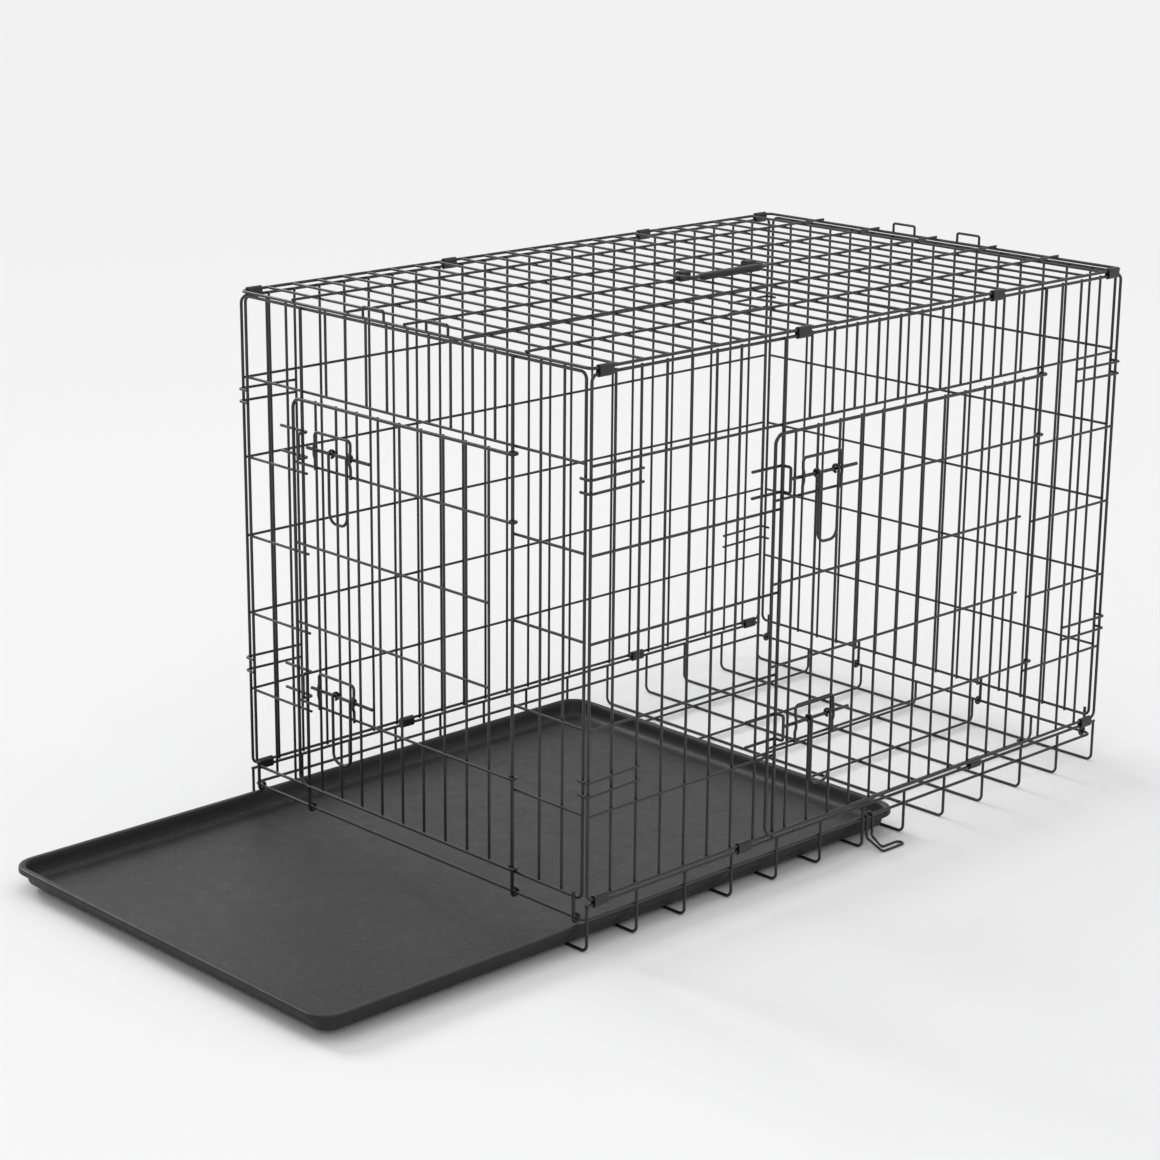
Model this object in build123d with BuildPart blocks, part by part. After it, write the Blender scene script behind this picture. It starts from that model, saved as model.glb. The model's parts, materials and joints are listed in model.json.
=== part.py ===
from build123d import *
import os

# Folding wire dog crate, in millimetres. X runs along the crate, from the front end to the back end,
# Y across it, from the side with a door to the plain side, and Z up from the floor.

# Wire sizes
frame_wire = 3.6
grid_wire = 3.2
floor_wire = 3.5
ring_wire = 3.6
post_wire = 4.0
door_wire = 4.0
bolt_wire = 4.0
latch_wire = 3.5
lock_wire = 3.0
bail_wire = 4.0

# Gaps between wires that are welded, that are clipped together, and that move
weld_gap = 0.05
rail_gap = 2.6
move_gap = 0.4
hinge_gap = 0.3
eye_gap = 0.6
pin_gap = 0.1

# Crate
upright_pitch = 38.0
upright_gaps = 24
crate_width = 592.0
row_gap = 96.7
rows = 6
frame_bend = 8.0

# Base
base_rail_z = 55.0
ring_z = 37.0
ring_bend = 8.0
hoop_bend = 8.0
hoop_every = 2
floor_wire_gaps = 6
floor_wire_overhang = 3.0

# End panels
end_swing_gap = 1.2
end_roof_gap = 0.8
end_gaps = 16
corner_hook_inset = 9.0
corner_hook_rise = 8.0
back_hook_pitches = 3

# Tabs that stand on the roof's end wires
tab_pitches = (1, 2)
tab_rise = 13.0
tab_bend = 2.4

# Corner hooks of the side panels
hook_heights = (182.0, 198.0, 516.0, 531.0)
hook_pitches = 2
hook_overhang = 1.6
hook_bend = 4.0
hook_tip = 12.0

# Doors
side_hinge_x = 300.0
side_opening = 465.0
side_door_overlap = 17.3
side_door_gaps = 13
front_post_pitches = 5
front_door_overlap = 11.0
front_door_gaps = 10
door_bend = 12.0
door_header_gap = 7.6
door_sill = 5.0
door_row_lift = 14.0
door_wire_overhang = 3.0

# Latches: heights are from the door's cross wire below. The bolts stand drawn, clear of their keepers,
# so that the doors are free to swing
latch_rows = (1, 4)
bolt_rise = 21.0
bolt_tip = 4.5
bolt_over = 8.8
bolt_draw = 21.0
bracket_gap = 2.1
bracket_rise = 43.0
bracket_bend = 5.0
kink_half = 4.5
kink_slope = 5.5
kink_bend = 3.0
loop_gap = 1.25
loop_width = 32.0
loop_drop = 80.0
loop_bend = 12.0
keeper_half = 15.0
keeper_reach = 45.0
keeper_bend = 3.0

# Hinge clips
clip_length = 20.0
clip_wall = 1.8
roof_clip_gaps = (0, 8, 17, 23)
base_clip_gaps = (0, 6, 17, 23)

# Carry handle
handle_pitches = 1
saddle_spread = 114.0
saddle_length = 14.0
saddle_width = 12.0
saddle_wall = 2.5
saddle_web = 1.2
saddle_round = 3.0
grip_width = 12.0
grip_height = 8.5
grip_length = 104.0
grip_end_round = 4.0
bail_reach = 24.0
bail_leg_gap = 4.0
bail_bend = 9.0
bail_pin_depth = 12.0

# Tray
tray_end_gap = 8.0
tray_side_gap = 9.0
tray_rim_z = 30.0
tray_wall = 2.5
tray_slope = 14.0
tray_corner = 30.0
tray_lip = 6.0
tray_lip_thickness = 3.0
tray_edge_round = 1.0
tray_seat_gap = 0.3
tray_pull = 366.0

# Fold lock hook
lock_x = 8.0
lock_spread = 10.0
lock_foot = 40.0
lock_reach = 26.0
lock_knee_z = 12.0
lock_bend = 4.8
lock_floor_gap = 0.2

# Where the wires of a panel lie, measured outwards from the middle of its frame wire
upright_out = -(frame_wire / 2 + weld_gap + grid_wire / 2)
cross_out = upright_out + grid_wire + weld_gap
post_out = frame_wire / 2 + weld_gap + post_wire / 2
rest_out = frame_wire / 2 + weld_gap + grid_wire / 2

# Where the wires of a door and its latches lie, measured the same way
eye_radius = post_wire / 2 + eye_gap + door_wire / 2
door_out = post_out + eye_radius
door_upright_out = door_out - (door_wire / 2 + weld_gap + grid_wire / 2)
door_cross_out = door_upright_out + grid_wire + weld_gap
cross_eye_radius = door_cross_out - post_out
bolt_out = door_upright_out + grid_wire / 2 + move_gap + bolt_wire / 2
latch_out = bolt_out + bolt_wire / 2 + move_gap + latch_wire / 2
loop_eye_radius = latch_out - bolt_out
bracket_out = door_cross_out + grid_wire / 2 + weld_gap + latch_wire / 2
keeper_out = post_out - post_wire / 2 - weld_gap - latch_wire / 2

# Crate lengths and heights
half_length = upright_pitch * upright_gaps / 2
half_width = crate_width / 2
side_bottom_z = base_rail_z + frame_wire + rail_gap
side_top_z = side_bottom_z + rows * row_gap
roof_z = side_top_z + frame_wire + rail_gap
tray_length = 2 * half_length - 2 * tray_end_gap
tray_width = crate_width - 2 * tray_side_gap
side_row_z = [side_bottom_z + row_gap * row for row in range(rows + 1)]

# End panels stand between the sides, under the roof's end wires, and swing about the base ring
end_x = half_length
end_half = half_width + upright_out - grid_wire / 2 - end_swing_gap - frame_wire / 2
end_pitch = 2 * end_half / end_gaps
end_bottom_z = side_bottom_z
end_top_z = roof_z - frame_wire - end_roof_gap
end_row_gap = (end_top_z - end_bottom_z) / rows
end_row_z = [end_bottom_z + end_row_gap * row for row in range(rows + 1)]
front_hinge_y = -front_post_pitches * end_pitch
front_opening = 2 * front_post_pitches * end_pitch
hinge_hook_radius = ring_wire / 2 + hinge_gap + post_wire / 2
ring_end_x = end_x + post_out - hinge_hook_radius

floor_z = floor_wire / 2
floor_run_z = floor_z + floor_wire + weld_gap
ring_y = half_width - floor_wire / 2 - weld_gap - ring_wire / 2

os.makedirs("parts", exist_ok=True)


def save(builder, name):
    """Label a finished piece and write it."""
    builder.part.label = name
    export_step(builder.part, f"parts/{name}.step")


def parallel_wires(plane, places, diameter, length):
    """Straight wires that start at places on one plane and run along its normal."""
    with BuildSketch(plane) as ends:
        with Locations(*places):
            Circle(diameter / 2)
    extrude(ends.sketch, amount=length)


def straight_wire(start, finish, diameter):
    """One straight wire between two points."""
    axis = Vector(*finish) - Vector(*start)
    with BuildSketch(Plane(origin=start, z_dir=axis)) as end:
        Circle(diameter / 2)
    extrude(end.sketch, amount=axis.length)


def bent_wire(points, bends, diameter, close=False):
    """One wire bent round at each inner point, with one bend radius or a list of them."""
    with BuildLine() as path:
        FilletPolyline(*points, radius=bends, close=close)
    with BuildSketch(path.line ^ 0) as end:
        Circle(diameter / 2)
    sweep(end.sketch, path=path.line)


def eye_bend(radius):
    """Bend radius that turns a square of corners into an eye of this radius."""
    return radius - weld_gap


# Base: hoops bent up at both long sides, with the tray's runners on them, turned up at the back as its stop
with BuildPart() as base_floor_hoops:
    hoop_top_z = base_rail_z - frame_wire / 2 - weld_gap
    for gap in range(0, upright_gaps + 1, hoop_every):
        hoop_x = -half_length + upright_pitch * gap
        hoop_corners = [
            (hoop_x, half_width, hoop_top_z),
            (hoop_x, half_width, floor_z),
            (hoop_x, -half_width, floor_z),
            (hoop_x, -half_width, hoop_top_z),
        ]
        bent_wire(hoop_corners, hoop_bend, floor_wire)
save(base_floor_hoops, "base_floor_hoops")

with BuildPart() as base_runner_wires:
    runner_pitch = crate_width / floor_wire_gaps
    runner_count = floor_wire_gaps - 1
    runner_top_z = ring_z - ring_wire / 2 - weld_gap
    for n in range(runner_count):
        runner_y = runner_pitch * (n - (runner_count - 1) / 2)
        runner_points = [
            (-half_length - floor_wire_overhang, runner_y, floor_run_z),
            (ring_end_x, runner_y, floor_run_z),
            (ring_end_x, runner_y, runner_top_z),
        ]
        bent_wire(runner_points, hoop_bend, floor_wire)
save(base_runner_wires, "base_runner_wires")

with BuildPart() as base_ring_wire:
    ring_corners = [
        (-ring_end_x, -ring_y, ring_z),
        (ring_end_x, -ring_y, ring_z),
        (ring_end_x, ring_y, ring_z),
        (-ring_end_x, ring_y, ring_z),
    ]
    bent_wire(ring_corners, ring_bend, ring_wire, close=True)
save(base_ring_wire, "base_ring_wire")

with BuildPart() as base_hinge_rails:
    rail_half = half_length + frame_wire / 2
    rail_places = [(-half_width, base_rail_z), (half_width, base_rail_z)]
    parallel_wires(Plane.YZ.offset(-rail_half), rail_places, frame_wire, 2 * rail_half)
save(base_hinge_rails, "base_hinge_rails")


def in_side_doorway(x):
    """Where an upright of the door side stands: clear of the doorway, over it, or in a post's place."""
    latch_post_x = side_hinge_x - side_opening
    if min(abs(x - side_hinge_x), abs(x - latch_post_x)) < upright_pitch / 2:
        return "post"
    return "over" if latch_post_x < x < side_hinge_x else "clear"


# Long sides: a bent frame wire, uprights inside it and cross wires level with it
upright_x = [-half_length + upright_pitch * gap for gap in range(1, upright_gaps)]
cross_end = half_length - frame_wire / 2 - weld_gap
upright_overlap = grid_wire / 2

for side_name, side in (("door_side", -1), ("plain_side", 1)):
    panel_y = side * half_width

    with BuildPart() as side_frame:
        frame_corners = [
            (-half_length, panel_y, side_bottom_z),
            (half_length, panel_y, side_bottom_z),
            (half_length, panel_y, side_top_z),
            (-half_length, panel_y, side_top_z),
        ]
        bent_wire(frame_corners, frame_bend, frame_wire, close=True)
    save(side_frame, f"{side_name}_frame")

    with BuildPart() as side_uprights:
        upright_y = panel_y + side * upright_out
        if side_name == "door_side":
            full_x = [x for x in upright_x if in_side_doorway(x) == "clear"]
            short_x = [x for x in upright_x if in_side_doorway(x) == "over"]
            header_z = side_row_z[-2] - upright_overlap
            parallel_wires(
                Plane.XY.offset(header_z),
                [(x, upright_y) for x in short_x],
                grid_wire,
                side_top_z + upright_overlap - header_z,
            )
        else:
            full_x = upright_x
        parallel_wires(
            Plane.XY.offset(side_bottom_z - upright_overlap),
            [(x, upright_y) for x in full_x],
            grid_wire,
            side_top_z - side_bottom_z + 2 * upright_overlap,
        )
    save(side_uprights, f"{side_name}_upright_wires")

    with BuildPart() as side_cross:
        cross_y = panel_y + side * cross_out
        if side_name == "door_side":
            hinge_end = side_hinge_x - post_wire / 2
            latch_end = side_hinge_x - side_opening + post_wire / 2
            split_places = [(cross_y, z) for z in side_row_z[1:-2]]
            parallel_wires(Plane.YZ.offset(-cross_end), split_places, grid_wire, latch_end + cross_end)
            parallel_wires(Plane.YZ.offset(hinge_end), split_places, grid_wire, cross_end - hinge_end)
            whole_rows = side_row_z[-2:-1]
        else:
            whole_rows = side_row_z[1:-1]
        parallel_wires(Plane.YZ.offset(-cross_end), [(cross_y, z) for z in whole_rows], grid_wire, 2 * cross_end)
    save(side_cross, f"{side_name}_cross_wires")

    # Corner hooks: wires that run past the corner and turn in across the end panel's edge
    with BuildPart() as corner_hooks:
        hook_start_x = half_length - hook_pitches * upright_pitch - hook_overhang
        hook_tip_x = end_x + frame_wire / 2 + move_gap + grid_wire / 2
        hook_lean = (rest_out - cross_out) / (half_length - hook_start_x)
        hook_tip_out = cross_out + hook_lean * (hook_tip_x - hook_start_x)
        for end in (-1, 1):
            for hook_z in hook_heights:
                hook_points = [
                    (end * hook_start_x, side * (half_width + cross_out), hook_z),
                    (end * hook_tip_x, side * (half_width + hook_tip_out), hook_z),
                    (end * hook_tip_x, side * (half_width - hook_tip), hook_z),
                ]
                bent_wire(hook_points, hook_bend, grid_wire)
    save(corner_hooks, f"{side_name}_corner_hooks")

# Roof: a bent frame wire, cross wires level with it and long wires lying on it
with BuildPart() as roof_frame:
    roof_corners = [
        (-half_length, -half_width, roof_z),
        (half_length, -half_width, roof_z),
        (half_length, half_width, roof_z),
        (-half_length, half_width, roof_z),
    ]
    bent_wire(roof_corners, frame_bend, frame_wire, close=True)
save(roof_frame, "roof_frame")

roof_cross_z = roof_z - cross_out
roof_long_z = roof_z - upright_out
roof_wire_y = [crate_width * (row / rows - 1 / 2) for row in range(1, rows)]

with BuildPart() as roof_cross_wires:
    cross_half = half_width - frame_wire / 2 - weld_gap
    parallel_wires(Plane.XZ.offset(-cross_half), [(x, roof_cross_z) for x in upright_x], grid_wire, 2 * cross_half)
save(roof_cross_wires, "roof_cross_wires")

with BuildPart() as roof_long_wires:
    long_half = half_length + upright_overlap
    parallel_wires(Plane.YZ.offset(-long_half), [(y, roof_long_z) for y in roof_wire_y], grid_wire, 2 * long_half)
save(roof_long_wires, "roof_long_wires")


def hinge_clips(name, clip_gaps, low_z):
    """Sleeves round two rails, the lower one at low_z, so that one panel can turn against the other."""
    rail_step = frame_wire + rail_gap
    bore = frame_wire + 2 * pin_gap
    with BuildPart() as clips:
        for gap in clip_gaps:
            clip_x = -half_length + upright_pitch * (gap + 1 / 2)
            for side in (-1, 1):
                middle = Plane(
                    origin=(clip_x - clip_length / 2, side * half_width, low_z + rail_step / 2),
                    x_dir=(0, 0, 1),
                    z_dir=(1, 0, 0),
                )
                with BuildSketch(middle) as sleeve:
                    SlotCenterToCenter(rail_step, bore + 2 * clip_wall)
                    SlotCenterToCenter(rail_step, bore, mode=Mode.SUBTRACT)
                extrude(sleeve.sketch, amount=clip_length)
    save(clips, name)


hinge_clips("roof_hinge_clips", roof_clip_gaps, side_top_z)
hinge_clips("base_hinge_clips", base_clip_gaps, base_rail_z)


def hinge_hook(end, y, top_z):
    """A wire down the outside of an end panel whose foot curls round the base ring."""
    radius = hinge_hook_radius
    hook_points = [
        (end * (ring_end_x + radius), y, top_z),
        (end * (ring_end_x + radius), y, ring_z - radius),
        (end * (ring_end_x - radius), y, ring_z - radius),
        (end * (ring_end_x - radius), y, ring_z + radius),
        (end * ring_end_x, y, ring_z + radius),
    ]
    bent_wire(hook_points, eye_bend(radius), post_wire)


# End panels: they hinge on the base ring and fold inwards between the sides
end_upright_y = [-end_half + end_pitch * gap for gap in range(1, end_gaps)]
end_cross_end = end_half - frame_wire / 2 - weld_gap
corner_hook_y = end_half - corner_hook_inset

for end_name, end in (("front_end", -1), ("back_end", 1)):
    panel_x = end * end_x
    has_door = end_name == "front_end"

    with BuildPart() as end_frame:
        frame_corners = [
            (panel_x, -end_half, end_bottom_z),
            (panel_x, end_half, end_bottom_z),
            (panel_x, end_half, end_top_z),
            (panel_x, -end_half, end_top_z),
        ]
        bent_wire(frame_corners, frame_bend, frame_wire, close=True)
    save(end_frame, f"{end_name}_frame")

    with BuildPart() as end_uprights:
        upright_x_place = panel_x + end * upright_out
        full_y = end_upright_y
        if has_door:
            full_y = [y for y in end_upright_y if abs(y) > -front_hinge_y + end_pitch / 2]
            short_y = [y for y in end_upright_y if abs(y) < -front_hinge_y - end_pitch / 2]
            header_z = end_row_z[-2] - upright_overlap
            parallel_wires(
                Plane.XY.offset(header_z),
                [(upright_x_place, y) for y in short_y],
                grid_wire,
                end_top_z + upright_overlap - header_z,
            )
        parallel_wires(
            Plane.XY.offset(end_bottom_z - upright_overlap),
            [(upright_x_place, y) for y in full_y],
            grid_wire,
            end_top_z - end_bottom_z + 2 * upright_overlap,
        )
    save(end_uprights, f"{end_name}_upright_wires")

    with BuildPart() as end_cross:
        cross_x = panel_x + end * cross_out
        whole_rows = end_row_z[1:-1]
        if has_door:
            stub_end = -front_hinge_y - post_wire / 2
            stub_places = [(cross_x, z) for z in end_row_z[1:-2]]
            stub_length = end_cross_end - stub_end
            parallel_wires(Plane.XZ.offset(-end_cross_end), stub_places, grid_wire, stub_length)
            parallel_wires(Plane.XZ.offset(stub_end), stub_places, grid_wire, stub_length)
            whole_rows = end_row_z[-2:-1]
        parallel_wires(
            Plane.XZ.offset(-end_cross_end), [(cross_x, z) for z in whole_rows], grid_wire, 2 * end_cross_end
        )
    save(end_cross, f"{end_name}_cross_wires")

    with BuildPart() as end_hooks:
        hook_y = [-corner_hook_y, corner_hook_y]
        if not has_door:
            hook_y += [-back_hook_pitches * end_pitch, back_hook_pitches * end_pitch]
        for y in hook_y:
            hinge_hook(end, y, end_bottom_z + corner_hook_rise)
    save(end_hooks, f"{end_name}_hinge_hooks")

    # Roof tabs: wire staples that stand on the roof's end wire
    with BuildPart() as roof_tabs:
        tab_foot_z = roof_z + frame_wire / 2 + weld_gap
        tab_top_z = roof_z + tab_rise
        for side in (-1, 1):
            near_y, far_y = (side * pitches * end_pitch for pitches in tab_pitches)
            tab_points = [
                (end * half_length, near_y, tab_foot_z),
                (end * half_length, near_y, tab_top_z),
                (end * half_length, far_y, tab_top_z),
                (end * half_length, far_y, tab_foot_z),
            ]
            bent_wire(tab_points, tab_bend, grid_wire)
    save(roof_tabs, f"{end_name}_roof_tabs")

# Door posts: those of the front end run on down as hinge hooks
with BuildPart() as front_end_door_posts:
    for y in (front_hinge_y, front_hinge_y + front_opening):
        hinge_hook(-1, y, end_top_z + frame_wire / 2)
save(front_end_door_posts, "front_end_door_posts")

with BuildPart() as door_side_door_posts:
    post_places = [(x, -(half_width + post_out)) for x in (side_hinge_x, side_hinge_x - side_opening)]
    post_foot_z = side_bottom_z - frame_wire / 2
    parallel_wires(Plane.XY.offset(post_foot_z), post_places, post_wire, side_top_z + frame_wire / 2 - post_foot_z)
save(door_side_door_posts, "door_side_door_posts")


def side_spot(across, out, z):
    """A point of the side door: across runs from the hinge post to the free edge."""
    return (side_hinge_x - across, -(half_width + out), z)


def front_spot(across, out, z):
    """A point of the front door: across runs from the hinge post to the free edge."""
    return (-(end_x + out), front_hinge_y + across, z)


def keepers(name, spot, opening, row_z):
    """Latch keepers: wires from behind the free post that stand out in a loop round the bolt's tip."""
    loop_across = opening - post_wire / 2 - weld_gap - latch_wire / 2
    with BuildPart() as loops:
        for row in latch_rows:
            bolt_z = row_z[row] + door_row_lift + bolt_rise
            high_z, low_z = bolt_z + keeper_half, bolt_z - keeper_half
            keeper_points = [
                spot(opening + keeper_reach, keeper_out, high_z),
                spot(loop_across, keeper_out, high_z),
                spot(loop_across, latch_out, high_z),
                spot(loop_across, latch_out, low_z),
                spot(loop_across, keeper_out, low_z),
                spot(opening + keeper_reach, keeper_out, low_z),
            ]
            bent_wire(keeper_points, keeper_bend, latch_wire)
    save(loops, name)


keepers("door_side_latch_keepers", side_spot, side_opening, side_row_z)
keepers("front_end_latch_keepers", front_spot, front_opening, end_row_z)


def hinge_eye(spot, radius, z):
    """Corners of an eye round the hinge post, from its open end to where the wire leaves it."""
    return [
        spot(radius, post_out, z),
        spot(radius, post_out - radius, z),
        spot(-radius, post_out - radius, z),
        spot(-radius, post_out + radius, z),
    ]


def door(name, spot, span, gaps, row_z):
    """A door: a bent frame wire and cross wires that end in eyes round the post, and uprights inside it."""
    pitch = span / gaps
    top_z = row_z[-2] - door_header_gap
    bottom_z = row_z[0] + door_sill
    door_row_z = [z + door_row_lift for z in row_z[1:-2]]

    with BuildPart() as frame:
        top_eye = hinge_eye(spot, eye_radius, top_z)
        bottom_eye = hinge_eye(spot, eye_radius, bottom_z)
        edge = [spot(span, door_out, top_z), spot(span, door_out, bottom_z)]
        eye_bends = [eye_bend(eye_radius)] * 3
        bent_wire(top_eye + edge + bottom_eye[::-1], eye_bends + [door_bend] * 2 + eye_bends, door_wire)
    save(frame, f"{name}_frame")

    with BuildPart() as uprights:
        foot_z = bottom_z - upright_overlap
        upright_places = [spot(pitch * gap, door_upright_out, foot_z)[:2] for gap in range(1, gaps)]
        parallel_wires(Plane.XY.offset(foot_z), upright_places, grid_wire, top_z + upright_overlap - foot_z)
    save(uprights, f"{name}_upright_wires")

    with BuildPart() as cross:
        free_end = span - door_wire / 2 - weld_gap
        for z in door_row_z[1:-1]:
            start = spot(pitch - door_wire_overhang, door_cross_out, z)
            straight_wire(start, spot(free_end, door_cross_out, z), grid_wire)
        for z in (door_row_z[0], door_row_z[-1]):
            eye_points = hinge_eye(spot, cross_eye_radius, z)
            bent_wire(eye_points + [spot(free_end, door_cross_out, z)], eye_bend(cross_eye_radius), grid_wire)
    save(cross, f"{name}_cross_wires")

    # Along the door: the drawn loop hangs just short of the second upright, and its bracket spans its travel
    near_loop = span - 2 * pitch + grid_wire / 2 + loop_gap + latch_wire / 2
    far_loop = near_loop - loop_width
    near_bracket = near_loop + bolt_draw + latch_wire + bracket_gap
    far_bracket = far_loop - latch_wire - bracket_gap

    # Latch brackets: wires welded to a cross wire and kinked out round the bolt
    with BuildPart() as brackets:
        for row in latch_rows:
            rail_z = row_z[row] + door_row_lift
            bolt_z = rail_z + bolt_rise
            leg = [
                (bracket_out, rail_z - grid_wire / 2),
                (bracket_out, bolt_z - kink_half - kink_slope),
                (latch_out, bolt_z - kink_half),
                (latch_out, bolt_z + kink_half),
                (bracket_out, bolt_z + kink_half + kink_slope),
                (bracket_out, rail_z + bracket_rise),
            ]
            near_leg = [spot(near_bracket, out, z) for out, z in leg]
            far_leg = [spot(far_bracket, out, z) for out, z in leg]
            bends = [kink_bend] * 4 + [bracket_bend] * 2 + [kink_bend] * 4
            bent_wire(near_leg + far_leg[::-1], bends, latch_wire)
    save(brackets, f"{name}_latch_brackets")

    for place, row in zip(("lower", "upper"), latch_rows):
        bolt_z = row_z[row] + door_row_lift + bolt_rise

        with BuildPart() as bolt:
            tip = spot(span - bolt_draw - bolt_tip, bolt_out, bolt_z)
            tail = spot(far_bracket - bolt_over - bolt_draw, bolt_out, bolt_z)
            straight_wire(tip, tail, bolt_wire)
        save(bolt, f"{name}_{place}_bolt")

        # Finger loop: hangs from the bolt by an eye on each leg
        with BuildPart() as loop:
            radius = loop_eye_radius
            leg = [
                (bolt_out, bolt_z - radius),
                (bolt_out - radius, bolt_z - radius),
                (bolt_out - radius, bolt_z + radius),
                (bolt_out + radius, bolt_z + radius),
                (bolt_out + radius, bolt_z - loop_drop),
            ]
            near_leg = [spot(near_loop, out, z) for out, z in leg]
            far_leg = [spot(far_loop, out, z) for out, z in leg]
            eye_bends = [eye_bend(radius)] * 3
            bent_wire(near_leg + far_leg[::-1], eye_bends + [loop_bend] * 2 + eye_bends, latch_wire)
        save(loop, f"{name}_{place}_finger_loop")


door("side_door", side_spot, side_opening + side_door_overlap, side_door_gaps, side_row_z)
door("front_door", front_spot, front_opening + front_door_overlap, front_door_gaps, end_row_z)

# Carry handle: two saddles clamped on the roof's middle wire and a bail with a moulded grip
roof_top_z = roof_long_z + grid_wire / 2
bail_z = roof_top_z + saddle_web + pin_gap + bail_wire / 2
saddle_foot_z = roof_long_z - grid_wire / 2 - saddle_wall / 2
saddle_top_z = bail_z + bail_wire / 2 + saddle_wall
handle_x = handle_pitches * upright_pitch
saddle_x = saddle_spread / 2
saddle_outer_x = saddle_x + saddle_length / 2
bail_leg_x = saddle_outer_x + bail_leg_gap
bail_pin_x = saddle_outer_x - bail_pin_depth

with BuildPart() as carry_handle_saddles:
    for side in (-1, 1):
        saddle_start = handle_x + side * saddle_x - saddle_length / 2
        foot = Plane(origin=(saddle_start, 0, 0), x_dir=(0, 1, 0), z_dir=(1, 0, 0))
        with BuildSketch(foot) as outline:
            with Locations((0, (saddle_foot_z + saddle_top_z) / 2)):
                RectangleRounded(saddle_width, saddle_top_z - saddle_foot_z, saddle_round)
            with Locations((0, roof_long_z)):
                Circle(grid_wire / 2 + weld_gap, mode=Mode.SUBTRACT)
        extrude(outline.sketch, amount=saddle_length)
        pin_mouth = Plane(origin=(handle_x + side * saddle_outer_x, 0, bail_z), z_dir=(-side, 0, 0))
        with BuildSketch(pin_mouth) as pin_hole:
            Circle(bail_wire / 2 + pin_gap)
        extrude(pin_hole.sketch, amount=bail_pin_depth + pin_gap, mode=Mode.SUBTRACT)
save(carry_handle_saddles, "carry_handle_saddles")

with BuildPart() as carry_handle_bail:
    bail_points = [
        (handle_x - bail_pin_x, 0, bail_z),
        (handle_x - bail_leg_x, 0, bail_z),
        (handle_x - bail_leg_x, -bail_reach, bail_z),
        (handle_x + bail_leg_x, -bail_reach, bail_z),
        (handle_x + bail_leg_x, 0, bail_z),
        (handle_x + bail_pin_x, 0, bail_z),
    ]
    bent_wire(bail_points, [bail_wire, bail_bend, bail_bend, bail_wire], bail_wire)
save(carry_handle_bail, "carry_handle_bail")

with BuildPart() as carry_handle_grip:
    grip_end = Plane(origin=(handle_x - grip_length / 2, -bail_reach, bail_z), x_dir=(0, 1, 0), z_dir=(1, 0, 0))
    with BuildSketch(grip_end) as grip_outline:
        Ellipse(grip_width / 2, grip_height / 2)
    extrude(grip_outline.sketch, amount=grip_length)
    grip_rims = carry_handle_grip.edges().filter_by(GeomType.ELLIPSE)
    fillet(grip_rims, radius=min(grip_end_round, grip_height / 3))
    with BuildSketch(grip_end) as grip_bore:
        Circle(bail_wire / 2 + weld_gap)
    extrude(grip_bore.sketch, amount=grip_length, mode=Mode.SUBTRACT)
save(carry_handle_grip, "carry_handle_grip")

# Tray: a shallow pan with flared walls and a lip, pulled part of the way out of the front end
tray_foot_z = floor_run_z + floor_wire / 2 + tray_seat_gap
tray_depth = tray_rim_z - tray_foot_z
with BuildPart() as tray:
    mouth_length = tray_length - 2 * tray_lip
    mouth_width = tray_width - 2 * tray_lip
    mouth_corner = tray_corner - tray_lip
    tray_rim = Plane(origin=(-tray_pull, 0, tray_rim_z))
    with BuildSketch(tray_rim) as pan_outside:
        RectangleRounded(mouth_length, mouth_width, mouth_corner)
    extrude(pan_outside.sketch, amount=-tray_depth, taper=tray_slope)
    with BuildSketch(tray_rim) as lip:
        RectangleRounded(tray_length, tray_width, tray_corner)
    extrude(lip.sketch, amount=-tray_lip_thickness)
    with BuildSketch(tray_rim) as pan_inside:
        RectangleRounded(mouth_length - 2 * tray_wall, mouth_width - 2 * tray_wall, mouth_corner - tray_wall)
    extrude(pan_inside.sketch, amount=tray_wall - tray_depth, taper=tray_slope, mode=Mode.SUBTRACT)
    lip_edge = tray.edges().filter_by_position(Axis.Z, tray_rim_z, tray_rim_z)
    fillet(lip_edge, radius=tray_edge_round)
save(tray, "tray")

# Fold lock hook: a hairpin that hangs from the base ring and lies on the floor outside the crate
with BuildPart() as fold_lock_hook:
    lock_eye = ring_wire / 2 + move_gap + lock_wire / 2
    lock_floor_z = lock_wire / 2 + lock_floor_gap
    lock_leg_y = -ring_y - lock_eye
    lock_far_x = lock_x + lock_foot

    def lock_leg(x, reach):
        """Corners of one leg, from the open end of its eye to the turn along the floor."""
        return [
            (x, -ring_y + lock_eye, ring_z - lock_eye),
            (x, -ring_y + lock_eye, ring_z + lock_eye),
            (x, lock_leg_y, ring_z + lock_eye),
            (x, lock_leg_y, lock_knee_z),
            (x, lock_leg_y - reach, lock_floor_z),
        ]

    outer_foot = (lock_far_x, lock_leg_y - lock_reach, lock_floor_z)
    inner_foot = (lock_far_x, lock_leg_y - lock_reach + lock_spread, lock_floor_z)
    outer_leg = lock_leg(lock_x, lock_reach)
    inner_leg = lock_leg(lock_x + lock_spread, lock_reach - lock_spread)
    leg_bends = [eye_bend(lock_eye)] * 2 + [lock_bend] * 2
    lock_points = outer_leg + [outer_foot, inner_foot] + inner_leg[::-1]
    bent_wire(lock_points, leg_bends + [lock_bend] * 2 + leg_bends[::-1], lock_wire)
save(fold_lock_hook, "fold_lock_hook")
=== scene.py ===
# %% [markdown]
# # A folding wire dog crate
# This lesson dresses a crate that is already built to size: steel wire panels, two doors with slide
# bolts, a carry handle and a plastic tray pulled part of the way out. The wires stay as they are and get
# their finish here. The tray, the grip and the weld spots are modelled in this file.

# %% Load the crate
import bpy
import bmesh
import json
import math
from mathutils import Matrix, Vector


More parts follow.
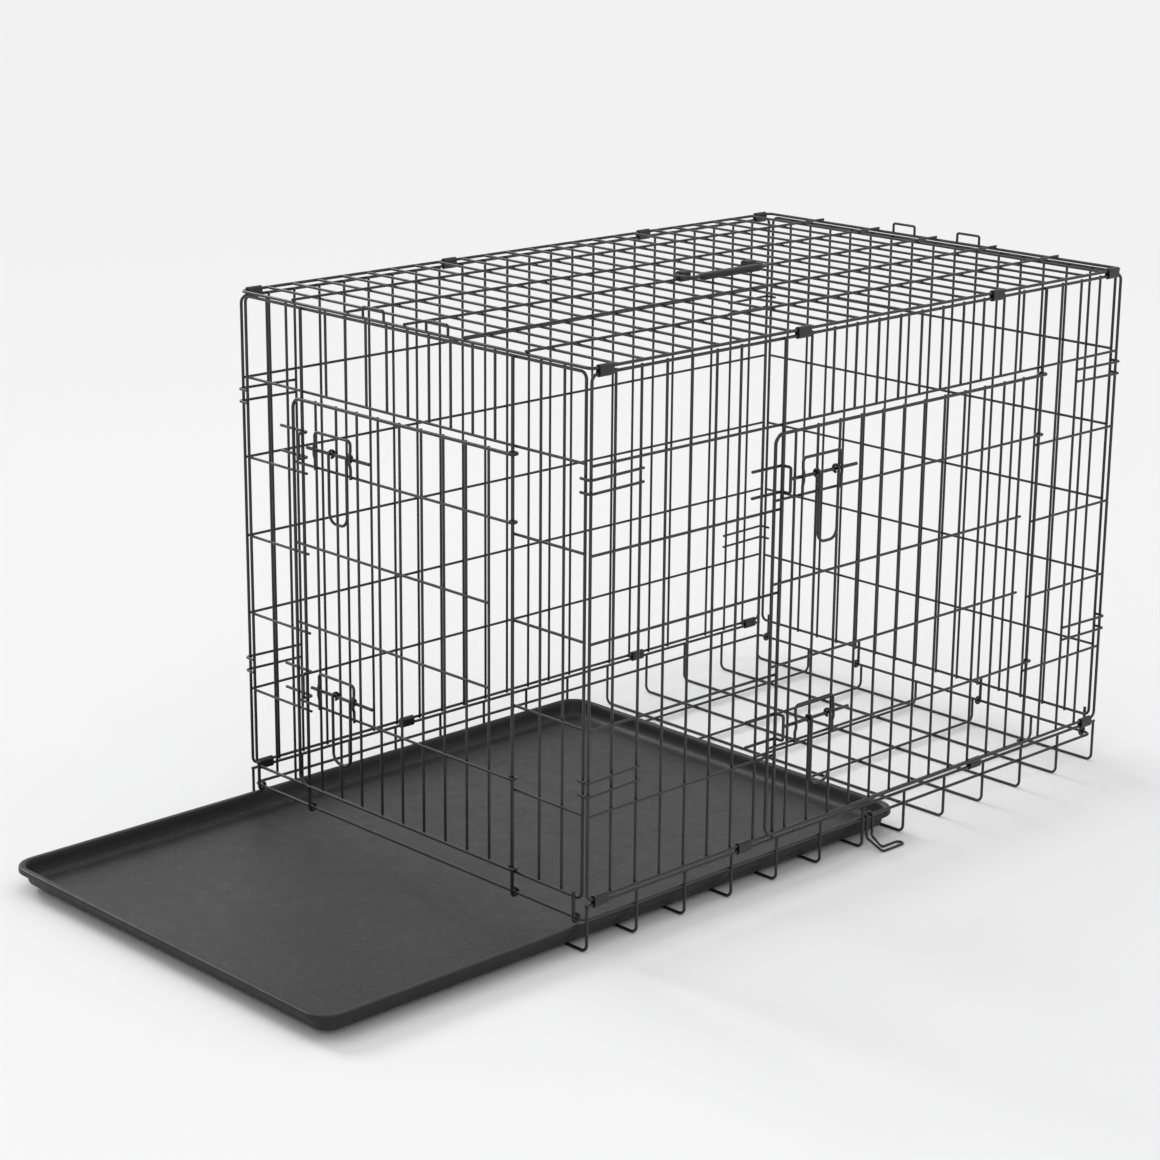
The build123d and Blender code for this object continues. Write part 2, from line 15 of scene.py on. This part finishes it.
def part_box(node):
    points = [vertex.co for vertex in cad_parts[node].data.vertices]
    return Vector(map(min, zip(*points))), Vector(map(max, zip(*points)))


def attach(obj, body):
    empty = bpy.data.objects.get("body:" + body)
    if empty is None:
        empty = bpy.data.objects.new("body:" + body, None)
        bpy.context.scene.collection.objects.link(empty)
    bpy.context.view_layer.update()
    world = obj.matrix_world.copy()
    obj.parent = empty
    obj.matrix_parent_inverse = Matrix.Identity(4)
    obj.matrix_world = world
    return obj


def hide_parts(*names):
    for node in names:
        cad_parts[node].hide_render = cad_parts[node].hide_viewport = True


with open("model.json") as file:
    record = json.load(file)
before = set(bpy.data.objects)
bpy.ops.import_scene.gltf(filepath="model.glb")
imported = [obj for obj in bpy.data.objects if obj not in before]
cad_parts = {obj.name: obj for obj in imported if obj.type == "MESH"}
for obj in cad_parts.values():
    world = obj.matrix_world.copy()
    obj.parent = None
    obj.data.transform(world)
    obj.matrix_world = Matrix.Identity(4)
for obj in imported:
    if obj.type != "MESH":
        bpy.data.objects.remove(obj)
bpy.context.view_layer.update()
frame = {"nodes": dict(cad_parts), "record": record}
MM = 0.001

# %% [markdown]
# ## Where the picture is taken from
# The photographer stands off the corner between the front end and the side with the door, a little above
# the roof, with a long lens. A camera is a place, a direction and a focal length, so the three directions
# of its view are worked out from a heading, a tilt and a small roll, and set as one matrix.

# %% Viewing direction
heading = math.radians(-43.85)
downward_tilt = math.radians(16.16)
roll = math.radians(0.49)

forward = Vector((
    -math.sin(heading) * math.cos(downward_tilt),
    math.cos(heading) * math.cos(downward_tilt),
    -math.sin(downward_tilt),
))
level_right = forward.cross(Vector((0, 0, 1))).normalized()
level_up = level_right.cross(forward)
right = level_right * math.cos(roll) + level_up * math.sin(roll)
up = level_up * math.cos(roll) - level_right * math.sin(roll)
print("looking along", [round(v, 3) for v in forward])


# %% Camera
def put_in_scene(name, data):
    """A new object that holds this data."""
    thing = bpy.data.objects.new(name, data)
    bpy.context.scene.collection.objects.link(thing)
    return thing


eye = Vector((-2.4072, -2.3119, 1.2358))
picture_px = 1160
focal_px = 2793.9
sensor_mm = 36
farthest_view = 50

camera_data = bpy.data.cameras.new("corner_camera")
camera_data.sensor_width = sensor_mm
camera_data.lens = sensor_mm * focal_px / picture_px
camera_data.clip_end = farthest_view
camera = put_in_scene("corner_camera", camera_data)
camera.matrix_world = Matrix.Translation(eye) @ Matrix((right, up, -forward)).transposed().to_4x4()
bpy.context.scene.camera = camera
print("lens", round(camera_data.lens, 1), "mm")

# %% [markdown]
# ## Floor and light
# The crate stands in a pale studio: a light floor that runs into a light background. The light is soft
# and comes mostly from above: the sky is two and a half times as bright overhead as at the horizon. With
# the lamps it adds up to about 1 on a level floor, so that a colour comes out as it is written. What is
# seen of the sky, straight or mirrored in a surface, is a plain pale background. A wide, low sun behind
# the plain side acts as a window does: it gives the tray its soft shadow on the near side, and it lights
# the whole floor evenly, which a lamp close by would not. Two weak lamps fill in.

# %% Floor
def new_material(name):
    """An empty node material, with its nodes, their links and its output node."""
    material = bpy.data.materials.new(name)
    material.use_nodes = True
    nodes = material.node_tree.nodes
    nodes.clear()
    return material, nodes, material.node_tree.links, nodes.new("ShaderNodeOutputMaterial")


def studio_floor_finish(colour):
    """Plain matt paint."""
    material, nodes, links, out = new_material("studio_floor")
    paint = nodes.new("ShaderNodeBsdfDiffuse")
    paint.inputs["Color"].default_value = (*colour, 1)
    links.new(paint.outputs["BSDF"], out.inputs["Surface"])
    return material


floor_size = 30.0
floor_colour = (0.88, 0.88, 0.882)
floor_mesh = bpy.data.meshes.new("studio_floor")
floor_shape = bmesh.new()
bmesh.ops.create_grid(floor_shape, x_segments=1, y_segments=1, size=floor_size / 2)
floor_shape.to_mesh(floor_mesh)
floor_shape.free()
floor_mesh.materials.append(studio_floor_finish(floor_colour))
floor = put_in_scene("studio_floor", floor_mesh)
print("floor", floor_size, "m wide")

# %% Light of the sky
horizon_light = 0.4
overhead_light = 1.0

world = bpy.data.worlds.new("studio")
bpy.context.scene.world = world
world.use_nodes = True
sky_nodes, sky_links = world.node_tree.nodes, world.node_tree.links
sky_nodes.clear()

direction = sky_nodes.new("ShaderNodeTexCoord")
upward = sky_nodes.new("ShaderNodeSeparateXYZ")
sky_links.new(direction.outputs["Generated"], upward.inputs["Vector"])
level = sky_nodes.new("ShaderNodeMapRange")
level.inputs["To Min"].default_value = horizon_light
level.inputs["To Max"].default_value = overhead_light
sky_links.new(upward.outputs["Z"], level.inputs["Value"])
sky_light = sky_nodes.new("ShaderNodeBackground")
sky_light.inputs["Color"].default_value = (1, 1, 1, 1)
sky_links.new(level.outputs["Result"], sky_light.inputs["Strength"])
print("sky light", horizon_light, "at the horizon and", overhead_light, "overhead")

# %% Background
background_colour = (0.92, 0.92, 0.922)
sky_seen = sky_nodes.new("ShaderNodeBackground")
sky_seen.inputs["Color"].default_value = (*background_colour, 1)
sky_seen.inputs["Strength"].default_value = 1.0
ray = sky_nodes.new("ShaderNodeLightPath")
seen = ray.outputs["Is Camera Ray"]
for kind in ("Is Glossy Ray", "Is Transmission Ray"):
    joined = sky_nodes.new("ShaderNodeMath")
    joined.operation = "MAXIMUM"
    sky_links.new(seen, joined.inputs[0])
    sky_links.new(ray.outputs[kind], joined.inputs[1])
    seen = joined.outputs["Value"]

either = sky_nodes.new("ShaderNodeMixShader")
sky_links.new(seen, either.inputs["Fac"])
sky_links.new(sky_light.outputs["Background"], either.inputs[1])
sky_links.new(sky_seen.outputs["Background"], either.inputs[2])
sky_out = sky_nodes.new("ShaderNodeOutputWorld")
sky_links.new(either.outputs["Shader"], sky_out.inputs["Surface"])
print("background", background_colour)

# %% Lamps
crate_middle = Vector((0, 0, 0.3))


def soft_lamp(name, place, width, depth, power):
    """A large flat lamp that faces the middle of the crate."""
    data = bpy.data.lights.new(name, "AREA")
    data.shape = "RECTANGLE"
    data.size = width
    data.size_y = depth
    data.energy = power
    aim = (crate_middle - Vector(place)).to_track_quat("-Z", "Y")
    lamp = put_in_scene(name, data)
    lamp.matrix_world = Matrix.Translation(place) @ aim.to_matrix().to_4x4()


soft_lamp("overhead_lamp", place=(-0.6, 0.8, 3.2), width=3.0, depth=2.2, power=6)
soft_lamp("near_lamp", place=(-3.0, -3.2, 2.4), width=1.6, depth=1.6, power=10)

window_direction = Vector((0, -1, -0.62))
window_strength = 1.2
window_width = math.radians(20)
window_data = bpy.data.lights.new("window_sun", "SUN")
window_data.energy = window_strength
window_data.angle = window_width
window_sun = put_in_scene("window_sun", window_data)
window_sun.rotation_mode = "QUATERNION"
window_sun.rotation_quaternion = window_direction.to_track_quat("-Z", "Y")

bpy.context.scene.view_settings.view_transform = "Standard"

# %% [markdown]
# ## Coated wire
# The wire is drawn steel with a thin black coat, put on wet by electric current and baked. Close up such
# a coat is satin, very slightly pebbled, and a little thinner and greyer in places. One function makes
# this finish for the wires, the latches and the clips, with its own base colour and roughness each time.
# A fine noise bends the light as the pebbling does, and a broad noise varies colour and roughness.

# %% Shared parts of a finish
def new_finish(name):
    """A node material with a surface shader, and the object's own coordinates for its patterns."""
    material, nodes, links, out = new_material(name)
    shader = nodes.new("ShaderNodeBsdfPrincipled")
    links.new(shader.outputs["BSDF"], out.inputs["Surface"])
    where = nodes.new("ShaderNodeTexCoord").outputs["Object"]
    return material, nodes, links, shader, where


def noise(nodes, links, where, features_per_m, detail=4.0):
    """Noise with about this many features to a metre."""
    texture = nodes.new("ShaderNodeTexNoise")
    texture.inputs["Scale"].default_value = features_per_m
    texture.inputs["Detail"].default_value = detail
    links.new(where, texture.inputs["Vector"])
    return texture.outputs["Fac"]


def ramp(nodes, links, factor, low, high, dark, light):
    """A colour that goes from dark to light as factor goes from low to high."""
    colours = nodes.new("ShaderNodeValToRGB")
    first, last = colours.color_ramp.elements
    first.position, first.color = low, (*dark, 1)
    last.position, last.color = high, (*light, 1)
    links.new(factor, colours.inputs["Fac"])
    return colours.outputs["Color"]


def spread(nodes, links, factor, low, high):
    """A noise, which mostly lies between a quarter and three quarters, spread over low to high."""
    stretch = nodes.new("ShaderNodeMapRange")
    stretch.inputs["From Min"].default_value = 0.25
    stretch.inputs["From Max"].default_value = 0.75
    stretch.inputs["To Min"].default_value = low
    stretch.inputs["To Max"].default_value = high
    links.new(factor, stretch.inputs["Value"])
    return stretch.outputs["Result"]


def bump(nodes, links, height, depth, strength):
    """A normal that follows height, with bumps of this depth in metres."""
    relief = nodes.new("ShaderNodeBump")
    relief.inputs["Strength"].default_value = strength
    relief.inputs["Distance"].default_value = depth
    links.new(height, relief.inputs["Height"])
    return relief.outputs["Normal"]


# %% Coated wire finish
coat_patches_per_m = 28
pebbles_per_m = 1400
pebble_depth = 0.06 * MM
pebble_strength = 0.35


def coated_wire_finish(name, dark, light, smoothest, roughest):
    """Black baked coat over steel wire."""
    material, nodes, links, shader, where = new_finish(name)
    patches = noise(nodes, links, where, coat_patches_per_m)
    pebbles = noise(nodes, links, where, pebbles_per_m, detail=2.0)
    colour = ramp(nodes, links, patches, low=0.35, high=0.7, dark=dark, light=light)
    links.new(colour, shader.inputs["Base Color"])
    links.new(spread(nodes, links, patches, low=smoothest, high=roughest), shader.inputs["Roughness"])
    links.new(bump(nodes, links, pebbles, pebble_depth, pebble_strength), shader.inputs["Normal"])
    return material


frame_coat = coated_wire_finish(
    "frame_wire_coat",
    dark=(0.01, 0.01, 0.0103), light=(0.022, 0.022, 0.0225), smoothest=0.26, roughest=0.42,
)
latch_coat = coated_wire_finish(
    "latch_wire_coat",
    dark=(0.007, 0.007, 0.0073), light=(0.024, 0.024, 0.0245), smoothest=0.22, roughest=0.4,
)
clip_coat = coated_wire_finish(
    "clip_coat",
    dark=(0.004, 0.004, 0.0042), light=(0.012, 0.012, 0.0125), smoothest=0.3, roughest=0.46,
)
print("coats", [coat.name for coat in (frame_coat, latch_coat, clip_coat)])

# %% [markdown]
# ## Moulded plastic
# The grip and the tray are moulded black plastic with a fine grain in the mould. The grip only needs the
# grain and faint flow patches. The tray is large and gets handled more, so its floor is cloudy with
# smudges and speckled with pale scuffs. Its floor is also painted a lighter grey than its black walls, as
# painted sheen for the light it catches, and its lip gets a pale painted highlight along the top. An
# attribute on the tray's points says how much painted sheen and wear each point gets, because both follow
# the shape.

# %% Grip finish
grain_strength = 0.5
flow_patches_per_m = 60
grip_grains_per_m = 1400
grip_grain_depth = 0.08 * MM
grip_dark = (0.009, 0.009, 0.0095)
grip_light = (0.018, 0.018, 0.019)


def mould_grain(nodes, links, where, grains_per_m, depth):
    """A normal with the fine cells of a textured mould."""
    grain = nodes.new("ShaderNodeTexVoronoi")
    grain.inputs["Scale"].default_value = grains_per_m
    links.new(where, grain.inputs["Vector"])
    return bump(nodes, links, grain.outputs["Distance"], depth, grain_strength)


def grip_finish():
    """Matt moulded plastic with faint flow patches."""
    material, nodes, links, shader, where = new_finish("handle_plastic")
    flow = noise(nodes, links, where, flow_patches_per_m, detail=6.0)
    colour = ramp(nodes, links, flow, low=0.3, high=0.72, dark=grip_dark, light=grip_light)
    links.new(colour, shader.inputs["Base Color"])
    links.new(spread(nodes, links, flow, low=0.5, high=0.62), shader.inputs["Roughness"])
    grain = mould_grain(nodes, links, where, grip_grains_per_m, grip_grain_depth)
    links.new(grain, shader.inputs["Normal"])
    return material


handle_plastic = grip_finish()
print("finish", handle_plastic.name)

# %% Tray colours
smudges_per_m = 4
scuffs_per_m = 230
# The floor's colours are lighter than the walls' black: partly painted sheen for the light the floor
# catches, partly smudges, clouds and scuffs of wear.
plain_black = (0.005, 0.005, 0.0052)
sheen_smudge_dark = (0.008, 0.008, 0.0083)
sheen_smudge_light = (0.025, 0.025, 0.0255)
sheen_cloud_grey = (0.026, 0.026, 0.0265)
scuff_grey = (0.075, 0.075, 0.076)
no_scuff = (0, 0, 0)
full_scuff = (0.7, 0.7, 0.7)


def mixed(nodes, links, factor, colour, other):
    """A colour that turns into another one as factor goes from 0 to 1."""
    mix = nodes.new("ShaderNodeMix")
    mix.data_type = "RGBA"
    links.new(factor, mix.inputs["Factor"])
    links.new(colour, mix.inputs["A"])
    mix.inputs["B"].default_value = (*other, 1)
    return mix.outputs["Result"]


def tray_colour(nodes, links, where, clouds):
    """Black on the walls, and on the floor a lighter grey of painted sheen with smudges, clouds and scuffs
    of wear, some of it also as a painted highlight on the lip.
    """
    smudges = noise(nodes, links, where, smudges_per_m)
    scuffs = noise(nodes, links, where, scuffs_per_m, detail=3.0)
    worn_and_sheened = ramp(nodes, links, smudges, low=0.3, high=0.72, dark=sheen_smudge_dark, light=sheen_smudge_light)
    cloudy = spread(nodes, links, clouds, low=0.0, high=0.8)
    worn_and_sheened = mixed(nodes, links, cloudy, worn_and_sheened, sheen_cloud_grey)
    scuffed = ramp(nodes, links, scuffs, low=0.6, high=0.72, dark=no_scuff, light=full_scuff)
    worn_and_sheened = mixed(nodes, links, scuffed, worn_and_sheened, scuff_grey)

    # The attribute places the painted lip highlight and the floor's painted sheen with its wear.
    sheen_and_wear = nodes.new("ShaderNodeAttribute")
    sheen_and_wear.attribute_name = "sheen_and_wear"
    unsheened_unworn = nodes.new("ShaderNodeMath")
    unsheened_unworn.operation = "SUBTRACT"
    unsheened_unworn.inputs[0].default_value = 1.0
    links.new(sheen_and_wear.outputs["Fac"], unsheened_unworn.inputs[1])
    return mixed(nodes, links, unsheened_unworn.outputs["Value"], worn_and_sheened, plain_black)


# %% Tray finish
clouds_per_m = 55
tray_grains_per_m = 900
tray_grain_depth = 0.1 * MM
tray_shine = 0.38


def tray_finish():
    """Black moulded plastic, with a lighter grey painted sheen and wear on its floor and a painted
    highlight on its lip.
    """
    material, nodes, links, shader, where = new_finish("tray_plastic")
    shader.inputs["Specular IOR Level"].default_value = tray_shine
    clouds = noise(nodes, links, where, clouds_per_m, detail=9.0)
    links.new(tray_colour(nodes, links, where, clouds), shader.inputs["Base Color"])
    links.new(spread(nodes, links, clouds, low=0.4, high=0.56), shader.inputs["Roughness"])
    grain = mould_grain(nodes, links, where, tray_grains_per_m, tray_grain_depth)
    links.new(grain, shader.inputs["Normal"])
    return material


tray_plastic = tray_finish()
print("finish", tray_plastic.name)

# %% Finish of every piece
slot_finish = {
    "coated_wire": frame_coat,
    "latch_wire": latch_coat,
    "hinge_clip": clip_coat,
    "handle_plastic": handle_plastic,
    "tray_plastic": tray_plastic,
}
node_slot = {entry["node"]: entry["material_slot"] for entry in frame["record"]["subparts"]}
for node, piece in frame["nodes"].items():
    piece.data.materials.clear()
    piece.data.materials.append(slot_finish[node_slot[node]])
print("finished", len(node_slot), "pieces of the crate")

# %% [markdown]
# ## Tray
# The tray is pressed from sheet plastic: a flat floor, walls that flare outwards from a soft inner corner,
# and a rounded lip that is rolled over at the rim. One plate of the lip's outline is the start. Its upper
# and its lower face are then inset step by step, and each step is moved down, so that both follow one
# profile and the wall keeps its thickness.

# %% Tray helpers
def add_piece(name, shape, body, material, smooth_angle=35):
    """A finished piece in the crate's frame, smooth except at edges sharper than smooth_angle."""
    mesh = bpy.data.meshes.new(name)
    bmesh.ops.recalc_face_normals(shape, faces=shape.faces)
    shape.to_mesh(mesh)
    shape.free()
    mesh.materials.append(material)
    mesh.shade_smooth()
    mesh.set_sharp_from_angle(angle=math.radians(smooth_angle))
    piece = put_in_scene(name, mesh)
    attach(piece, body)
    return piece


def press(shape, face, profile):
    """Inset a face step by step along a profile of (distance from the outline, height)."""
    reach, height = 0.0, face.calc_center_median().z
    for next_reach, next_height in profile:
        bmesh.ops.inset_region(shape, faces=[face], thickness=next_reach - reach, use_even_offset=True)
        bmesh.ops.translate(shape, verts=face.verts, vec=(0, 0, next_height - height))
        reach, height = next_reach, next_height


def soft_corner(start, corner, end, steps):
    """Points along a curve from start to end that is drawn towards corner."""
    points = []
    for step in range(steps + 1):
        t = step / steps
        points.append(tuple(
            (1 - t) ** 2 * a + 2 * t * (1 - t) * b + t ** 2 * c for a, b, c in zip(start, corner, end)
        ))
    return points


# %% Tray sizes
tray_low, tray_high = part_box("tray")
tray_middle = (tray_low + tray_high) / 2
tray_size = tray_high - tray_low
lip_width = 6 * MM
lip_thickness = 7 * MM
lip_round = 2.6 * MM
lip_turn = 1.2 * MM
tray_wall = 2.5 * MM
wall_flare = math.tan(math.radians(14))
outline_corner = 30 * MM
floor_corner = 11 * MM
foot_corner = 5 * MM
flat_margin = 3 * MM
lip_low_z = tray_high.z - lip_thickness
floor_top_z = tray_low.z + tray_wall
print("tray", [round(v / MM, 1) for v in tray_size], "mm")

# %% Tray plate
outline_segments = 14
tray_shape = bmesh.new()
bmesh.ops.create_grid(tray_shape, x_segments=1, y_segments=1, size=0.5)
bmesh.ops.scale(tray_shape, verts=tray_shape.verts, vec=(tray_size.x, tray_size.y, 1))
bmesh.ops.bevel(
    tray_shape, geom=tray_shape.verts[:], affect="VERTICES", offset=outline_corner,
    offset_type="OFFSET", segments=outline_segments, profile=0.5, material=-1,
)
plate_place = (tray_middle.x, tray_middle.y, lip_low_z + lip_turn)
bmesh.ops.translate(tray_shape, verts=tray_shape.verts, vec=plate_place)
underside = tray_shape.faces[:][0]
raised = bmesh.ops.extrude_face_region(tray_shape, geom=[underside], use_keep_orig=True)
upper = next(item for item in raised["geom"] if isinstance(item, bmesh.types.BMFace))
bmesh.ops.translate(tray_shape, verts=upper.verts, vec=(0, 0, lip_thickness - lip_turn - lip_round))
print("plate", len(tray_shape.faces), "faces")

# %% Inside of the tray
lip_steps = 5
corner_steps = 6
wall_start = lip_width + tray_wall
wall_end = wall_start + wall_flare * (tray_high.z - floor_top_z)
lip_fall = 2 * lip_round

inside = soft_corner(
    (0, tray_high.z - lip_round),
    (0, tray_high.z),
    (lip_round, tray_high.z),
    lip_steps,
)[1:]
inside += soft_corner(
    (wall_start - lip_round, tray_high.z),
    (wall_start, tray_high.z),
    (wall_start + wall_flare * lip_fall, tray_high.z - lip_fall),
    lip_steps,
)
inside += soft_corner(
    (wall_end - wall_flare * floor_corner, floor_top_z + floor_corner),
    (wall_end, floor_top_z),
    (wall_end + floor_corner, floor_top_z),
    corner_steps,
)
inside += [(wall_end + floor_corner + flat_margin, floor_top_z)]
press(tray_shape, upper, inside)
print("inside", len(inside), "steps")

# %% Underside of the tray
turn_steps = 3
foot_reach = lip_width + wall_flare * (tray_high.z - tray_low.z)

outside = soft_corner(
    (0, lip_low_z + lip_turn),
    (0, lip_low_z),
    (lip_turn, lip_low_z),
    turn_steps,
)[1:]
outside += [(lip_width + wall_flare * lip_thickness, lip_low_z)]
outside += soft_corner(
    (foot_reach - wall_flare * foot_corner, tray_low.z + foot_corner),
    (foot_reach, tray_low.z),
    (foot_reach + foot_corner, tray_low.z),
    corner_steps,
)
outside += [(foot_reach + foot_corner + flat_margin, tray_low.z)]
press(tray_shape, underside, outside)
tray = add_piece("pressed_tray", tray_shape, "tray", tray_plastic)
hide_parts("tray")
print("tray", len(tray.data.polygons), "faces")

# %% Painted sheen and wear of the tray
# The lip's top gets a pale painted highlight, and the floor gets its lighter painted sheen together with
# its wear.
lip_highlight = 0.6
floor_sheen_and_wear = 1.0
lip_band = lip_round / 4
floor_band = floor_corner / 4
hair = 0.1 * MM
sheen_and_wear = tray.data.attributes.new("sheen_and_wear", "FLOAT", "POINT")
for vert, mark in zip(tray.data.vertices, sheen_and_wear.data):
    if vert.co.z > tray_high.z - lip_band:
        mark.value = lip_highlight
    elif floor_top_z - hair < vert.co.z < floor_top_z + floor_band:
        mark.value = floor_sheen_and_wear
print("worn points", sum(mark.value > 0 for mark in sheen_and_wear.data), "of", len(sheen_and_wear.data))

# %% [markdown]
# ## Carry grip
# The grip is a short bar moulded round the handle's wire, with shallow ribs that keep it from slipping.
# A block with rounded long edges is cut into rings along its length. Every other ring is drawn in a
# little to make the ribs, and the rings near both ends are drawn in more, so that the ends are rounded.

# %% Grip block
grip_low, grip_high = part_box("carry_handle_grip")
grip_middle = (grip_low + grip_high) / 2
grip_size = grip_high - grip_low
grip_edge_round = 3 * MM
grip_edge_segments = 5
grip_rings = 47


def lengthwise_edges(shape):
    """Edges that run along the grip."""
    return [edge for edge in shape.edges if abs(edge.verts[0].co.x - edge.verts[1].co.x) > MM]


grip_shape = bmesh.new()
grip_place = Matrix.Translation(grip_middle) @ Matrix.Diagonal((*grip_size, 1))
bmesh.ops.create_cube(grip_shape, size=1, matrix=grip_place)
bmesh.ops.bevel(
    grip_shape, geom=lengthwise_edges(grip_shape), affect="EDGES", offset=grip_edge_round,
    offset_type="OFFSET", segments=grip_edge_segments, profile=0.5, material=-1,
)
bmesh.ops.subdivide_edges(grip_shape, edges=lengthwise_edges(grip_shape), cuts=grip_rings)
print("grip block", [round(v / MM, 1) for v in grip_size], "mm")

# %% Grip ribs
rib_depth = 0.07
ribbed_share = 0.8
end_round_share = 0.12
end_width = 0.6


def ring_width(ring, place):
    """How wide a ring is against the block, at a place from -1 at one end to 1 at the other."""
    past = (abs(place) - 1 + end_round_share) / end_round_share
    if past > 0:
        return end_width + (1 - end_width) * math.sqrt(1 - min(past, 1) ** 2)
    if abs(place) < ribbed_share and ring % 2:
        return 1 - rib_depth
    return 1.0


to_grip = Matrix.Translation(-grip_middle)
half_ring = 0.5 / grip_rings
for ring in range(grip_rings + 2):
    place = 2 * ring / (grip_rings + 1) - 1
    ring_verts = [
        vert for vert in grip_shape.verts
        if abs((vert.co.x - grip_middle.x) * 2 / grip_size.x - place) < half_ring
    ]
    width = ring_width(ring, place)
    bmesh.ops.scale(grip_shape, verts=ring_verts, vec=(1, width, width), space=to_grip)
grip = add_piece(
    "moulded_grip", grip_shape, "carry_handle", handle_plastic, smooth_angle=60
)
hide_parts("carry_handle_grip")
print("grip", len(grip.data.polygons), "faces")

# %% [markdown]
# ## Weld spots
# Every crossing of two wires in a panel is a spot weld, where the wires are pressed together hot and a
# little metal squeezes out round the touching point. The wires here are straight, so each one is the
# box it fills, and a spot goes wherever an upright passes a cross wire or a rail. The spots are small
# and there are many of them, so each is a coarse ball.

# %% Wires of a node
same_place = 0.001 * MM


def wire_boxes(node):
    """Lowest and highest corner of each separate wire of a node, in order of the lowest one."""
    shape = bmesh.new()
    shape.from_mesh(frame["nodes"][node].data)
    bmesh.ops.remove_doubles(shape, verts=shape.verts, dist=same_place)
    waiting = set(shape.verts)
    boxes = []
    while waiting:
        reached = [waiting.pop()]
        for vert in reached:
            for edge in vert.link_edges:
                other = edge.other_vert(vert)
                if other in waiting:
                    waiting.remove(other)
                    reached.append(other)
        corners = [[pick(vert.co[axis] for vert in reached) for axis in range(3)] for pick in (min, max)]
        boxes.append(tuple(Vector(corner) for corner in corners))
    shape.free()
    return sorted(boxes, key=lambda box: tuple(box[0]))


def rail_boxes(node, across, normal, wire):
    """Boxes of a frame's first and last rail, which lie at the low end of the normal axis."""
    low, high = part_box(node)
    high[normal] = low[normal] + wire
    first_high, last_low = high.copy(), low.copy()
    first_high[across] = low[across] + wire
    last_low[across] = high[across] - wire
    return [(low, first_high), (last_low, high)]


def crossings(uprights, rails, along, across, normal):
    """Points where an upright touches a rail: uprights run along one axis and rails across it."""
    points = []
    for low, high in uprights:
        for rail_low, rail_high in rails:
            point = (low + high) / 2
            point[along] = (rail_low[along] + rail_high[along]) / 2
            meets = low[along] <= point[along] <= high[along]
            meets = meets and rail_low[across] <= point[across] <= rail_high[across]
            if not meets:
                continue
            if rail_low[normal] + rail_high[normal] > low[normal] + high[normal]:
                point[normal] = (high[normal] + rail_low[normal]) / 2
            else:
                point[normal] = (low[normal] + rail_high[normal]) / 2
            points.append(point)
    return points


# %% Weld spots of the panels
X, Y, Z = 0, 1, 2
weld_radius = 1.35 * MM
weld_height = 0.8
frame_wire = 3.6 * MM
door_wire = 4.0 * MM


def weld_spots(name, body, points, normal):
    """One piece of small flattened balls at these points."""
    shape = bmesh.new()
    flatten = Vector((1, 1, 1))
    flatten[normal] = weld_height
    for point in points:
        place = Matrix.Translation(point) @ Matrix.Diagonal((*flatten, 1))
        bmesh.ops.create_icosphere(shape, subdivisions=1, radius=weld_radius, matrix=place)
    add_piece(name, shape, body, frame_coat, smooth_angle=80)
    print(name, len(points), "welds")


for panel, body, across, normal, wire in (
    ("door_side", "cage", X, Y, frame_wire),
    ("plain_side", "cage", X, Y, frame_wire),
    ("front_end", "front_end", Y, X, frame_wire),
    ("back_end", "back_end", Y, X, frame_wire),
    ("front_door", "front_door", Y, X, door_wire),
    ("side_door", "side_door", X, Y, door_wire),
):
    rails = wire_boxes(f"{panel}_cross_wires") + rail_boxes(f"{panel}_frame", Z, normal, wire)
    spots = crossings(wire_boxes(f"{panel}_upright_wires"), rails, Z, across, normal)
    weld_spots(f"{panel}_weld_spots", body, spots, normal)

# %% Weld spots of roof and floor
roof_rails = wire_boxes("roof_cross_wires") + rail_boxes("roof_frame", X, Z, frame_wire)
roof_spots = crossings(wire_boxes("roof_long_wires"), roof_rails, X, Y, Z)
weld_spots("roof_weld_spots", "cage", roof_spots, Z)

runner_bend = 6 * MM
floor_spots = []
for hoop_low, hoop_high in wire_boxes("base_floor_hoops"):
    hoop_x = (hoop_low.x + hoop_high.x) / 2
    for runner_low, runner_high in wire_boxes("base_runner_wires"):
        if hoop_x < runner_high.x - runner_bend:
            runner_y = (runner_low.y + runner_high.y) / 2
            floor_spots.append(Vector((hoop_x, runner_y, runner_low.z)))
weld_spots("floor_weld_spots", "cage", floor_spots, Z)
